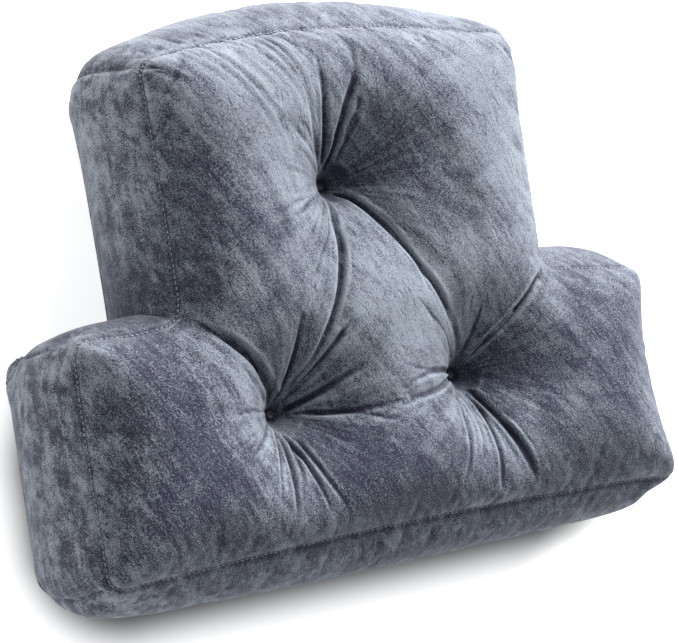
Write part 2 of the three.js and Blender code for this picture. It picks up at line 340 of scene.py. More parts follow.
def points_near(rows, panel, places):
    """Numbers of the panel's points inside a circle round an arc."""
    middle = places.mean(axis=0)
    reach = np.linalg.norm(places - middle, axis=1).max() + MARGIN
    return panel[np.hypot(*(rows[panel, :2] - middle).T) < reach]


def crease_measure(rows, places, run):
    """For every point: the share of the arc that is passed, and the signed distance from it."""
    gap = rows[:, None, :2] - places[None, :, :]
    nearest = (gap ** 2).sum(axis=2).argmin(axis=1)
    here = gap[np.arange(len(rows)), nearest]
    ahead = run[nearest]
    side = np.sign(ahead[:, 0] * here[:, 1] - ahead[:, 1] * here[:, 0])
    return nearest / (len(places) - 1), side * np.linalg.norm(here, axis=1)


# %% Lift the ridges and press the valleys
CREASE_ROOT = 0.25
CREASE_RISE = 0.12
CREASE_FADE = 0.7
VALLEY_POWER = 1.3
RIDGE_AT = 1.7
RIDGE_WIDTH = 0.85
FAR_RIDGE = 0.4


def crease_lift(piece, widen):
    """How far all pleats together lift or press each point of the face."""
    rows = points_of(piece)
    panel = np.flatnonzero(on_panel(piece))
    lift = np.zeros(len(rows))
    for x, y, heading, turn, length, depth, half, ridge, side in CREASES:
        places, run = arc(x, y, heading, turn, length)
        near = points_near(rows, panel, places)
        share, offset = crease_measure(rows[near], places, run)
        fade = np.minimum(1, share / CREASE_RISE + CREASE_ROOT) * (1 - share) ** CREASE_FADE
        across = offset / (half * widen * MM)
        crest = np.exp(-((across - RIDGE_AT * side) / RIDGE_WIDTH) ** 2)
        far_crest = np.exp(-((across + RIDGE_AT * side) / RIDGE_WIDTH) ** 2)
        valley = np.exp(-np.abs(across) ** VALLEY_POWER)
        lift[near] += fade * MM * (ridge * crest + FAR_RIDGE * ridge * far_crest - depth * valley)
    return lift


# %% [markdown]
# A vertex can be compared with its neighbours, the other ends of its edges. Their middle, taken
# again and again, gives the surface without small folds, and their distance tells how fine the
# mesh is.

# %% Compare a vertex with its neighbours
def edge_ends(piece):
    """The two vertices of every edge, and how many edges meet at each vertex."""
    pairs = np.empty(len(piece.data.edges) * 2, int)
    piece.data.edges.foreach_get("vertices", pairs)
    return pairs[0::2], pairs[1::2], np.bincount(pairs, minlength=len(piece.data.vertices))


def neighbour_mean(piece, rows, steps):
    """Average the neighbours' rows of numbers at each vertex, again and again."""
    one, two, count = edge_ends(piece)
    size = len(rows)
    for _ in range(steps):
        rows = np.stack([np.bincount(one, column[two], size) + np.bincount(two, column[one], size)
                         for column in rows.T], axis=1) / count[:, None]
    return rows


def neighbour_gap(piece, rows):
    """The mean squared distance from each vertex to its neighbours."""
    one, two, count = edge_ends(piece)
    gaps = ((rows[one] - rows[two]) ** 2).sum(axis=1)
    return (np.bincount(one, gaps, len(rows)) + np.bincount(two, gaps, len(rows))) / count


def even_normals(piece, steps):
    """The normals of a surface without its small folds."""
    normals = neighbour_mean(piece, points_of(piece, "normal"), steps)
    return normals / np.linalg.norm(normals, axis=1, keepdims=True)


spacing = np.sqrt(neighbour_gap(cushion, points_of(cushion)))
print("vertices are", in_mm(np.median(spacing)), "mm apart")

# %% [markdown]
# ## Stuffing the cover
#
# A tufted face is cut larger than the space it fills. The filling pushes the spare cloth up
# between the buttons, and where two swells meet it folds. That is hard to model by hand and easy
# to simulate: the cloth is let out, most of all round the tufts, and pressed from inside, while
# the needle points, the seams and the flat back are held. First the mesh is made finer where it
# will fold.

# %% Refine the cover where it will fold
FINE_REACH = 70 * MM
FINE_LINE = 26 * MM


def line_distance(rows):
    """How far each point is from the nearest line between two tufts, seen from above."""
    gaps = []
    for one, two in zip(tuft_rows[:, :2], np.roll(tuft_rows, 1, axis=0)[:, :2]):
        run = two - one
        along = np.clip((rows[:, :2] - one) @ run / (run @ run), 0, 1)
        gaps.append(np.linalg.norm(rows[:, :2] - one - along[:, None] * run, axis=1))
    return np.min(gaps, axis=0)


start = points_of(cushion)
folding = (tuft_distance(start) < FINE_REACH) | (line_distance(start) < FINE_LINE)
refine(cushion, on_panel(cushion) & folding)
print("cover", len(cushion.data.polygons), "faces")

# %% [markdown]
# The band is cut in strips, one for each side, and the strips are joined at the outer corners. The
# join is a plain seam that runs straight out from the corner of the face, so it lies in an upright
# plane through that corner and only the distance from the plane is needed.

# %% Find the joins of the band
JOIN_START = -6 * MM
FAR_OFF = 1.0
JOINS = (
    # x, y of a corner of the face seam, the join's heading, how far the corner stands out in mm
    (-291, -221, 225, 1),
    (293, -215, 315, 5),
    (290, -27, 45, 4),
    (185, 195, 45, 2),
    (-191, 195, 135, 0),
    (-289, -19, 135, 0),
)


def bearing(heading):
    """A level direction, by its angle from X in degrees."""
    return np.array([math.cos(math.radians(heading)), math.sin(math.radians(heading))])


def join_gap(rows, on_band):
    """How far each point of the band is from the plane of the nearest join."""
    gap = np.full(len(rows), FAR_OFF)
    for x, y, heading, _ in JOINS:
        run = bearing(heading)
        here = rows[:, :2] - np.array([x, y]) * MM
        across = np.abs(here @ np.array([-run[1], run[0]]))
        gap = np.where(on_band & (here @ run > JOIN_START), np.minimum(gap, across), gap)
    return gap


def band_of(piece):
    """Which vertices lie on the band."""
    return (marks_of(piece, "face_panel") < HALF) & (points_of(piece)[:, 2] > BACK_SEAM)


print(len(JOINS), "joins on", int(band_of(cushion).sum()), "vertices of the band")

# %% [markdown]
# With these distances every vertex can be told how far the cloth is let out there, and whether it
# is held.

# %% Let the cloth out and hold the sewn lines
LET_OUT_TUFT = 0.11
LET_OUT_FACE = 0.02
LET_OUT_ENDS = 0.045
TUFT_REACH = 80 * MM
FOLD_REACH = 32 * MM
FOLD_SHARE = 0.5
NEEDLE = 4 * MM
JOIN_HELD = 3 * MM
ON_LINE = 0.99

start = points_of(cushion)
on_face = on_panel(cushion)
spare = np.maximum(np.exp(-(tuft_distance(start) / TUFT_REACH) ** 2),
                   FOLD_SHARE * np.exp(-(line_distance(start) / FOLD_REACH) ** 2))
facing_ends = np.abs(points_of(cushion, "normal")[:, 1])
let_out = np.where(on_face, LET_OUT_FACE + (LET_OUT_TUFT - LET_OUT_FACE) * spare,
                   LET_OUT_FACE + (LET_OUT_ENDS - LET_OUT_FACE) * facing_ends)
held = ((marks_of(cushion, "face_seam") > ON_LINE) | (start[:, 2] < BACK_SEAM + MERGE)
        | ((tuft_distance(start) < NEEDLE) & on_face)
        | (join_gap(start, band_of(cushion)) < JOIN_HELD))
print("held", int(held.sum()), "of", len(held), "vertices")

# %% [markdown]
# Blender's cloth is tuned for things a few units across, so the cover is simulated at ten times
# its size. There is no gravity, because the filling carries the cover. The pleats are pressed in
# beforehand, so that the cloth folds along them.

# %% Set up the cloth
SIM_SCALE = 10
STEPS = 30
FIRST_WIDTH = 1.5
FIRST_GAIN = 0.85
FIRST_EVEN = 4
CLOTH = {
    "quality": 8, "mass": 0.3, "air_damping": 2,
    "use_pressure": True, "uniform_pressure_force": 2.5,
    "tension_stiffness": 60, "compression_stiffness": 60, "shear_stiffness": 12,
    "bending_stiffness": 0.02,
    "tension_damping": 5, "compression_damping": 5, "shear_damping": 5,
    "shrink_min": -LET_OUT_TUFT, "shrink_max": -LET_OUT_FACE,
    "vertex_group_mass": "held", "vertex_group_shrink": "tight",
}

first_lift = crease_lift(cushion, FIRST_WIDTH)


def stuff(piece):
    """Simulate the filled cover and give back where its vertices settle."""
    folded = start + even_normals(piece, FIRST_EVEN) * FIRST_GAIN * first_lift[:, None]
    set_points(piece, folded * SIM_SCALE)
    pins = piece.vertex_groups.new(name="held")
    pins.add(np.flatnonzero(held).tolist(), 1.0, "REPLACE")
    tight = piece.vertex_groups.new(name="tight")
    for index, share in enumerate((LET_OUT_TUFT - let_out) / (LET_OUT_TUFT - LET_OUT_FACE)):
        tight.add([index], float(share), "REPLACE")
    cloth = piece.modifiers.new("stuffed", "CLOTH")
    for name, value in CLOTH.items():
        setattr(cloth.settings, name, value)
    cloth.settings.effector_weights.gravity = 0
    cloth.collision_settings.use_collision = False
    scene = bpy.context.scene
    scene.frame_start = 1
    scene.frame_end = cloth.point_cache.frame_end = STEPS
    for step in range(1, STEPS + 1):
        scene.frame_set(step)
    apply_step(piece, cloth)
    piece.vertex_groups.clear()
    scene.frame_set(1)
    return points_of(piece) / SIM_SCALE


# %% Press the cover from inside
settled = stuff(cushion)
moved = np.linalg.norm(settled - start, axis=1)
print("stuffing moved points by", in_mm(moved.mean()), "mm on average, at most", in_mm(moved.max()))

# %% [markdown]
# The filling swells the cover past the size of the solid. Folds are short and the swelling is
# long, so the two can be told apart: averaging each point's move with its neighbours' many times
# leaves only the swelling, and most of that is taken back. Chance folds are taken out where the
# cloth should lie smooth, and what is left is capped.

# %% Keep the folds and give back the swelling
SPREAD_STEPS = 120
GIVE_BACK = 0.9
MOVE_CAP = 16 * MM
CALM_EDGE = 4
CALM_SPOTS = (
    # x, y, radius in mm: where the cloth lies smooth
    (47, 84, 42),
    (68, 36, 36),
    (-36, 70, 20),
    (-98, -158, 46),
    (96, -150, 46),
    (142, -98, 36),
)

move = settled - start
swelling = neighbour_mean(cushion, move, SPREAD_STEPS)
folding = move - swelling
for x, y, radius in CALM_SPOTS:
    away = np.hypot(start[:, 0] - x * MM, start[:, 1] - y * MM) / (radius * MM)
    folding = folding * (1 - np.exp(-away ** CALM_EDGE))[:, None]
move = folding + (1 - GIVE_BACK) * swelling
length = np.linalg.norm(move, axis=1, keepdims=True)
move = move * np.minimum(1, MOVE_CAP / np.maximum(length, MERGE))
set_points(cushion, start + move)
subdivide_smoothly(cushion)
rows = points_of(cushion)
print("stuffed cushion", in_mm([rows.min(0), rows.max(0)]), "mm")

# %% [markdown]
# The pleats right by the buttons are finer than the simulation's mesh. The cover is made finer
# along the same arcs and the pleats are pressed in once more, narrow and sharp.

# %% Sharpen the pleats
CREASE_NEAR = 9 * MM
FINE_ENOUGH = 1.3 * MM
CREASE_GAIN = 1.2
SHARP_WIDTH = 0.72
SHARP_SMOOTH = 2
SHARP_EVEN = 8
DEEPEST = 8 * MM
HIGHEST = 4 * MM

rows = points_of(cushion)
by_crease = np.zeros(len(rows), bool)
panel = np.flatnonzero(on_panel(cushion))
for x, y, heading, turn, length, *_ in CREASES:
    places, run = arc(x, y, heading, turn, length)
    near = points_near(rows, panel, places)
    by_crease[near] |= np.abs(crease_measure(rows[near], places, run)[1]) < CREASE_NEAR
by_crease &= neighbour_gap(cushion, rows) > FINE_ENOUGH ** 2
refine(cushion, by_crease, SHARP_SMOOTH)
lift = np.clip(CREASE_GAIN * crease_lift(cushion, SHARP_WIDTH), -DEEPEST, HIGHEST)
set_points(cushion, points_of(cushion) + even_normals(cushion, SHARP_EVEN) * lift[:, None])
print("pleats go", in_mm(-lift.min()), "mm in and", in_mm(lift.max()), "mm out")

# %% [markdown]
# ## The cups of the tufts
#
# A button lies open at the bottom of its hollow. The simulated swells lean over it, so the cloth
# round each button is pressed back to an open cone, about as steep as the eye looks in.

# %% Open a cup round each button
CUP_FLOOR = 5.5 * MM
CUP_RISE = 2.5 * MM
CUP_SLOPE = 1.7
CUP_REACH = 17 * MM

rows = points_of(cushion)
on_face = on_panel(cushion)
for place in tuft_rows:
    out = np.hypot(rows[:, 0] - place[0], rows[:, 1] - place[1])
    highest = place[2] + CUP_RISE + CUP_SLOPE * np.maximum(0, out - CUP_FLOOR)
    pressed = on_face & (out < CUP_REACH) & (rows[:, 2] > highest)
    rows[pressed, 2] = highest[pressed]
    print("pressed", int(pressed.sum()), "vertices")
set_points(cushion, rows)

# %% [markdown]
# ## Sewn lines
#
# Thread pulls the cloth in, so a seam lies in a narrow dip. The vertices of both seams are known
# by their marks, and every other vertex can be told how far along the seam it is and how far from
# it. With those two numbers a dip or a pucker is one short formula.

# %% Measure along and away from the seams
SEAM_MIDDLE_Y = -100 * MM


def ring_of(piece, name):
    """The vertex numbers of a sewn line, in order round the cushion."""
    numbers = np.flatnonzero(marks_of(piece, name) > ON_LINE)
    places = points_of(piece)[numbers]
    turn = np.arctan2(places[:, 1] - SEAM_MIDDLE_Y, places[:, 0])
    return numbers[np.argsort(turn)]


def along_ring(places):
    """How far along a closed line each of its points is, and the line's whole length."""
    gaps = np.linalg.norm(np.roll(places, -1, axis=0) - places, axis=1)
    return np.concatenate([[0], np.cumsum(gaps)[:-1]]), gaps.sum()


def seam_measure(rows, ring_rows):
    """For every point, the nearest point of a line: its number and its distance."""
    tree = KDTree(len(ring_rows))
    for number, place in enumerate(ring_rows):
        tree.insert(place, number)
    tree.balance()
    found = [tree.find(place)[1:] for place in rows]
    return np.array([number for number, _ in found]), np.array([distance for _, distance in found])


# %% Refine the cover along the face seam
SEAM_NEAR = 7 * MM
GATHER_NEAR = 24 * MM
GATHER_ENDS = 120 * MM

rows = points_of(cushion)
face_gap = seam_measure(rows, rows[ring_of(cushion, "face_seam")])[1]
refine(cushion, face_gap < np.where(np.abs(rows[:, 1]) > GATHER_ENDS, GATHER_NEAR, SEAM_NEAR))

face_ring = ring_of(cushion, "face_seam")
back_ring = ring_of(cushion, "back_seam")
rows = points_of(cushion)
face_nearest, face_gap = seam_measure(rows, rows[face_ring])
back_gap = seam_measure(rows, rows[back_ring])[1]
face_along, face_length = along_ring(rows[face_ring])
print("face seam", in_mm(face_length), "mm,", len(face_ring), "vertices")

# %% [markdown]
# A long seam is never sewn with both edges equally tight. The looser edge is eased in, and the
# spare cloth stands in small slanting gathers on both sides of the thread. They are lowest along
# the sides and highest at the top, where a straight band is sewn to a curved edge. Each one is a
# low ridge or dip whose place, size and slant are drawn from a seeded list of numbers.

# %% Ease the gathers in along the face seam
GATHER_PITCH = 11 * MM
GATHER_HEIGHT = 1.3 * MM
GATHER_WIDTH = 3.4 * MM
GATHER_LENGTH = 17 * MM
GATHER_SLANT = 0.55
BAND_GATHER = 1.6
GATHER_SHARES = {"top": 1.0, "base": 0.7, "side": 0.35}
GATHER_STRAY = 0.4
GATHER_WIDTHS = (0.7, 1.4)
GATHER_REACHES = (0.6, 1.5)
GATHER_TURNS = (0.4, 1.6)
SEAM_EVEN = 3
SEED = 11

chance = np.random.default_rng(SEED)
on_face = on_panel(cushion)
slide = np.where(on_face, -GATHER_SLANT, GATHER_SLANT) * face_gap
station = face_along[face_nearest]
gathers = np.zeros(len(rows))
for middle in np.arange(0, face_length, GATHER_PITCH):
    middle = middle + chance.uniform(-GATHER_STRAY, GATHER_STRAY) * GATHER_PITCH
    place = rows[face_ring[np.searchsorted(face_along, middle % face_length) - 1]]
    where = "top" if place[1] > GATHER_ENDS else "base" if place[1] < -GATHER_ENDS else "side"
    height = GATHER_SHARES[where] * GATHER_HEIGHT * chance.uniform(-1, 1)
    width = GATHER_WIDTH * chance.uniform(*GATHER_WIDTHS)
    reach = GATHER_LENGTH * chance.uniform(*GATHER_REACHES)
    turn = slide * chance.uniform(*GATHER_TURNS)
    gap = (station - turn - middle + face_length / 2) % face_length - face_length / 2
    gathers += height * np.exp(-(gap / width) ** 2 - (face_gap / reach) ** 2)
gathers = np.where(on_face, gathers, BAND_GATHER * gathers)
rows = rows + even_normals(cushion, SEAM_EVEN) * gathers[:, None]
set_points(cushion, rows)
print("gathers", in_mm(gathers.min()), "to", in_mm(gathers.max()), "mm")

# %% [markdown]
# Now the thread pulls in both seams along their whole length. The joins of the band are pressed in
# the same way, each by the distance from its plane.

# %% Press in both seams
SEAM_DIP = 1.7 * MM
SEAM_HALF_WIDTH = 2.2 * MM

dip = (SEAM_DIP * np.exp(-(face_gap / SEAM_HALF_WIDTH) ** 2)
       + SEAM_DIP * np.exp(-(back_gap / SEAM_HALF_WIDTH) ** 2))
set_points(cushion, rows - even_normals(cushion, SEAM_EVEN) * dip[:, None])
print("seams press in", int((dip > MERGE).sum()), "vertices")

# %% Press in the joins of the band
JOIN_DIP = 2.4 * MM
JOIN_HALF_WIDTH = 2.4 * MM
JOIN_NEAR = 8 * MM

refine(cushion, join_gap(points_of(cushion), band_of(cushion)) < JOIN_NEAR)
rows = points_of(cushion)
dip = JOIN_DIP * np.exp(-(join_gap(rows, band_of(cushion)) / JOIN_HALF_WIDTH) ** 2)
set_points(cushion, rows - even_normals(cushion, SEAM_EVEN) * dip[:, None])
print("joins press in", int((dip > MERGE).sum()), "of", len(dip), "vertices")

# %% [markdown]
# Filling never sits evenly. Some corners of the cushion stand out in a point, the filling is
# packed harder in others, and one arm is a little slack. Each is a soft push along a level heading.

# %% Fill out the corners
POINT_REACH = 22
FULL_SPOTS = (
    # x, y, z, reach in mm, heading, push in mm: where the filling stands out further, or less far
    (-198, 202, 50, 42, 135, 9),
    (190, 200, 125, 30, 45, 7),
    (296, -14, 70, 40, 45, 8),
    (300, -120, 100, 60, 0, 5),
    (-245, 4, 60, 46, 90, -7),
    (-300, -20, 70, 34, 180, 4),
)

corners = tuple((x, y, FACE_SEAM / MM, POINT_REACH, heading, point) for x, y, heading, point in JOINS)
rows = points_of(cushion)
for x, y, z, reach, heading, push in corners + FULL_SPOTS:
    away = np.linalg.norm(rows - np.array([x, y, z]) * MM, axis=1) / (reach * MM)
    rows = rows + push * MM * np.exp(-away ** 2)[:, None] * np.append(bearing(heading), 0)
moved = np.linalg.norm(rows - points_of(cushion), axis=1)
set_points(cushion, rows)
face_ring = ring_of(cushion, "face_seam")
back_ring = ring_of(cushion, "back_seam")
print("corners moved by up to", in_mm(moved.max()), "mm")

# %% [markdown]
# ## Painted shade in folds, painted highlight on ridges
#
# The plush finish paints shade into every fold and a highlight onto every ridge. How far a vertex lies
# below or above the middle of its neighbours sets their strength. It is kept at every vertex as a mark
# that the plush finish reads, and the thread's own narrow line along the face seam gets painted shade
# as well.

# %% Mark painted shade in folds and painted highlight on ridges
FOLD_RADIUS = 20 * MM
FOLD_STEPS = 4
FOLD_BLUR = 2
SEAM_LINE = 1.6 * MM
SEAM_SHADE = 0.4
CLEAR_FOLD = 0.5

rows = points_of(cushion)
normals = points_of(cushion, "normal")
hollow = ((neighbour_mean(cushion, rows, FOLD_STEPS) - rows) * normals).sum(axis=1, keepdims=True)
hollow = neighbour_mean(cushion, hollow, FOLD_BLUR)[:, 0]
bend = hollow * FOLD_RADIUS / (FOLD_STEPS * neighbour_gap(cushion, rows))
line = np.exp(-(seam_measure(rows, rows[face_ring])[1] / SEAM_LINE) ** 2)
# Painted shade in folds and along the face seam, painted highlight on ridges, kept as a mark.
set_marks(cushion, "fold_shade_and_highlight", np.clip(bend, -1, 1) * (1 - line) + SEAM_SHADE * line)
print("folds", int((bend > CLEAR_FOLD).sum()), "ridges", int((bend < -CLEAR_FOLD).sum()), "vertices")
only(cushion)
bpy.ops.object.shade_smooth()

# %% [markdown]
# Pile that a hand has stroked lies flat until it is stroked again, and looks darker or paler than the
# rest. The broad tones are rows of a table, each a soft oval seen from above, and they are kept as a
# second mark. They are partly such strokes of the pile and partly painted light and shade: darker in
# the hollows by the tufts, on the lower face and on the left and bottom bands, and paler on parts of
# the face. A third mark says how much the pile is crushed: most on the side where the cushion is picked
# up.

# %% Mark the broad tones: pile strokes and painted light and shade
LAY_AND_PAINTED_LIGHT_OVALS = (
    # x, y, heading, half length, half width in mm, tone
    (0, -242, 0, 330, 16, -0.04),
    (110, -244, 0, 190, 16, -0.32),
    (0, -200, 0, 310, 38, -0.22),
    (-56, -145, 80, 48, 34, -0.34),
    (30, -165, 5, 90, 28, -0.16),
    (139, -105, 10, 50, 24, -0.22),
    (-236, -60, 90, 62, 36, -0.38),
    (-205, -150, 100, 62, 46, -0.34),
    (-231, 2, 0, 60, 20, -0.48),
    (244, -8, 0, 60, 22, -0.03),
    (235, -105, 70, 70, 40, -0.24),
    (196, -46, 40, 30, 14, -0.20),
    (-146, 120, 75, 80, 34, -0.16),
    (0, 232, 0, 210, 18, 0.01),
    (-150, 226, 15, 60, 16, -0.09),
    (-204, 120, 90, 80, 10, 0.12),
    (-208, 30, 90, 36, 14, -0.20),
    (-166, 50, 80, 60, 28, -0.16),
    (-90, 140, 120, 90, 46, 0.48),
    (-146, -70, -40, 42, 18, 0.22),
    (-131, -140, 80, 48, 22, 0.18),
    (72, -155, -80, 46, 24, 0.34),
    (24, -25, -60, 60, 40, 0.52),
    (-26, -40, -60, 50, 36, 0.24),
    (128, 95, 95, 100, 34, 0.25),
    (194, 90, 92, 120, 14, -0.26),
    (250, -150, 90, 60, 24, 0.08),
    (300, -120, 90, 90, 12, -0.20),
    (64, 110, 30, 60, 40, -0.14),
    (14, 88, 20, 42, 24, -0.22),
    (114, -92, 5, 42, 20, -0.26),
    (135, 120, 110, 100, 46, 0.22),
)

rows = points_of(cushion)
lay_and_painted_light = np.zeros(len(rows))
# Each oval is partly pile lay and partly painted light or shade on the cushion.
for x, y, heading, long_half, short_half, tone in LAY_AND_PAINTED_LIGHT_OVALS:
    run = bearing(heading)
    here = rows[:, :2] / MM - (x, y)
    along = here @ run / long_half
    across = here @ (-run[1], run[0]) / short_half
    lay_and_painted_light += tone * np.exp(-along ** 2 - across ** 2)
set_marks(cushion, "lay_and_painted_light", lay_and_painted_light)
print(len(LAY_AND_PAINTED_LIGHT_OVALS), "broad strokes, tone", lay_and_painted_light.min().round(2), "to", lay_and_painted_light.max().round(2))

# %% Mark where the pile is crushed
CRUSH_FROM = 110 * MM
CRUSH_OVER = 110 * MM
BASE_EDGE = -215 * MM
BASE_CRUSH = 0.5
BAND_CRUSH = 0.2
FACE_CRUSH = 0.55

crushed = np.clip((-rows[:, 0] - CRUSH_FROM) / CRUSH_OVER, 0, 1)
off_face = marks_of(cushion, "face_panel") < HALF
least = np.where(rows[:, 1] < BASE_EDGE, BASE_CRUSH, BAND_CRUSH)
crushed = np.where(off_face, np.maximum(crushed, least), FACE_CRUSH * crushed)
set_marks(cushion, "crushed", crushed)
print("pile crushed by", crushed.mean().round(2), "on average")

# %% [markdown]
# ## Stitches
#
# The seams are closed by a lockstitch whose thread shows as a row of small dashes. One stitch is
# modelled, a short rod with rounded ends, and copied along the seam. All stitches of a seam make
# one mesh, because they are one thread.

# %% Model one stitch
STITCH_LENGTH = 3.0 * MM
STITCH_PITCH = 4.6 * MM
THREAD_RADIUS = 0.65 * MM
ROD_SIDES = 6
ROD_RINGS = 4
QUARTER_TURN = math.pi / 2

bpy.ops.object.select_all(action="DESELECT")
bpy.ops.mesh.primitive_uv_sphere_add(segments=ROD_SIDES, ring_count=ROD_RINGS, radius=THREAD_RADIUS)
one_stitch = bpy.context.object
set_mode("EDIT")
bpy.ops.mesh.select_all(action="SELECT")
bpy.ops.transform.rotate(value=QUARTER_TURN, orient_axis="Y", center_override=(0, 0, 0))
set_mode("OBJECT")
rod = points_of(one_stitch)
rod[:, 0] += np.sign(np.round(rod[:, 0], 6)) * (STITCH_LENGTH / 2 - THREAD_RADIUS)
rod_faces = [list(face.vertices) for face in one_stitch.data.polygons]
bpy.data.objects.remove(one_stitch)
print("one stitch has", len(rod_faces), "faces")

# %% Sew along a seam
STITCH_LIFT = 0.65 * MM


def sew(name, ring):
    """Copy the stitch along a ring of the cushion's vertices."""
    outward = points_of(cushion, "normal")[ring]
    places = points_of(cushion)[ring] + outward * STITCH_LIFT
    along, whole = along_ring(places)
    count = int(whole / STITCH_PITCH)
    closed = np.append(along, whole)
    stations = np.arange(count) * whole / count

    def at(rows, distance):
        looped = np.vstack([rows, rows[:1]])
        return np.stack([np.interp(distance % whole, closed, column) for column in looped.T], axis=1)

    middle = at(places, stations)
    run = at(places, stations + STITCH_LENGTH / 2) - at(places, stations - STITCH_LENGTH / 2)
    run /= np.linalg.norm(run, axis=1, keepdims=True)
    up = at(outward, stations)
    side = np.cross(up, run)
    side /= np.linalg.norm(side, axis=1, keepdims=True)
    up = np.cross(run, side)
    axes = np.stack([run, side, up], axis=1)
    copies = middle[:, None, :] + np.einsum("vk,skc->svc", rod, axes)
    faces = [[v + s * len(rod) for v in face] for s in range(count) for face in rod_faces]
    mesh = bpy.data.meshes.new(name)
    mesh.from_pydata(copies.reshape(-1, 3).tolist(), [], faces)
    thread = bpy.data.objects.new(name, mesh)
    bpy.context.scene.collection.objects.link(thread)
    edit_vertices(thread, True)
    bpy.ops.mesh.normals_make_consistent(inside=False)
    only(thread)
    bpy.ops.object.shade_smooth()
    print(name, count, "stitches")
    return thread


face_thread = sew("face_seam_stitches", face_ring)
back_thread = sew("back_seam_stitches", back_ring)

# %% [markdown]
# ## Tuft buttons
#
# Each tuft ends in a small covered button, a shell with cloth drawn over it and turned under its
# rim. It starts as a disc. A row of insets raises its top to a low dome, the last one presses the
# middle in where the twine pulls, and a subdivision rounds it all.

# %% Model one covered button
BUTTON_RADIUS = 5 * MM
BUTTON_HEIGHT = 4.6 * MM
BUTTON_SIDES = 24
RIM_STEPS = ((0.7, 1.2), (1.2, 0.9), (1.4, 0.2), (0.8, -0.9))  # width and rise of each inset in mm

bpy.ops.object.select_all(action="DESELECT")
bpy.ops.mesh.primitive_cylinder_add(vertices=BUTTON_SIDES, radius=BUTTON_RADIUS,
                                    depth=BUTTON_HEIGHT / 2, location=(0, 0, BUTTON_HEIGHT / 4))
button = bpy.context.object
bpy.ops.object.transform_apply(location=True, rotation=True, scale=True)
bpy.context.tool_settings.mesh_select_mode = (False, False, True)
set_mode("EDIT")
bpy.ops.mesh.select_all(action="DESELECT")
set_mode("OBJECT")
top_face = max(button.data.polygons, key=lambda face: face.center.z)
top_face.select = True
set_mode("EDIT")
for width, rise in RIM_STEPS:
    bpy.ops.mesh.inset(thickness=width * MM, depth=rise * MM)
set_mode("OBJECT")
subdivide_smoothly(button)
only(button)
bpy.ops.object.shade_smooth()
print("one button has", len(button.data.polygons), "faces")

# %% Copy the button to the three tufts
buttons = {}
for name, place in tufts.items():
    copy = bpy.data.objects.new("covered_button_" + name, button.data.copy())
    bpy.context.scene.collection.objects.link(copy)
    copy.data.transform(Matrix.Translation(place))
    buttons[name] = copy
    print(copy.name, "at", in_mm(place), "mm")
bpy.data.objects.remove(button)

# %% [markdown]
# ## Writing finishes as sums
#
# A finish is a net of nodes, and most of them do arithmetic. The small class below holds one
# socket, so that a sum such as `0.5 + 2 * (clouds - 0.5)` adds the Math nodes by itself. Places
# and directions go through `vector`, and every other node comes from `add`: the kind, its
# settings, then the values or links of its sockets.

# %% A socket that can be added and multiplied
class Wire:
    """A shader socket that takes part in Python expressions."""

    def __init__(self, tree, socket):
        self.tree, self.socket = tree, socket

    def add(self, kind, settings=None, sockets=None, out=0):
        node = self.tree.nodes.new(kind)
        for name, value in (settings or {}).items():
            setattr(node, name, value)
        for name, value in (sockets or {}).items():
            if isinstance(value, Wire):
                self.tree.links.new(value.socket, node.inputs[name])
            else:
                node.inputs[name].default_value = value
        return Wire(self.tree, node.outputs[out])

    def maths(self, operation, first, second):
        return self.add("ShaderNodeMath", {"operation": operation}, {0: first, 1: second})

    def vector(self, operation, *others, out=0):
        """A Vector Math node on this vector and others."""
        return self.add("ShaderNodeVectorMath", {"operation": operation},
                        dict(enumerate((self, *others))), out)

    def __add__(self, other):
        return self.maths("ADD", self, other)

    def __sub__(self, other):
        return self.maths("SUBTRACT", self, other)

    def __rsub__(self, other):
        return self.maths("SUBTRACT", other, self)

    def __mul__(self, other):
        return self.maths("MULTIPLY", self, other)

    __radd__, __rmul__ = __add__, __mul__

    def limit(self, low=0.0, high=1.0):
        """Keep the value between two ends."""
        return self.add("ShaderNodeClamp", None, {0: self, "Min": low, "Max": high})

    def blend(self, first, second):
        """Mix two colours by this value."""
        return self.add("ShaderNodeMix", {"data_type": "RGBA"}, {0: self, 6: first, 7: second}, 2)

    def bump(self, strength, height):
        """Raise a low relief by this value."""
        return self.add("ShaderNodeBump", None,
                        {"Strength": strength, "Distance": height, "Height": self})

    def clouds(self, size, turn=0.0, detail=2.0, rough=0.5, warp=0.0):
        """Noise on these coordinates. size is a cloud's length along x, y and z in metres."""
        turned = self.add("ShaderNodeMapping", {"vector_type": "TEXTURE"},
                          {"Vector": self, "Rotation": (0, 0, math.radians(turn)), "Scale": size})
        return self.add("ShaderNodeTexNoise", None,
                        {"Vector": turned, "Scale": 1.0, "Detail": detail, "Roughness": rough,
                         "Distortion": warp})


# %% Start a finish
def new_finish(name):
    """A fresh material, its shader, and the piece's own coordinates."""
    finish = bpy.data.materials.new(name)
    finish.use_nodes = True
    tree = finish.node_tree
    place = Wire(tree, tree.nodes.new("ShaderNodeTexCoord").outputs["Object"])
    return finish, tree.nodes["Principled BSDF"], place


def feed(shader, name, wire):
    wire.tree.links.new(wire.socket, shader.inputs[name])


def set_constants(shader, values):
    for name, value in values.items():
        shader.inputs[name].default_value = value


# %% [markdown]
# ## Plush
#
# Plush is a knitted cloth with a short, soft pile. Stroked one way the pile is dark and the other
# way it is pale, so a handled cushion is mottled in patches and long strokes. Over them lie the
# marks of a brush, fine lines where the pile was creased, and a grain of single tufts. Each of
# those is a noise of its own size. The strokes run the way that the cloth was pulled, from the
# upper left to the lower right of the face.

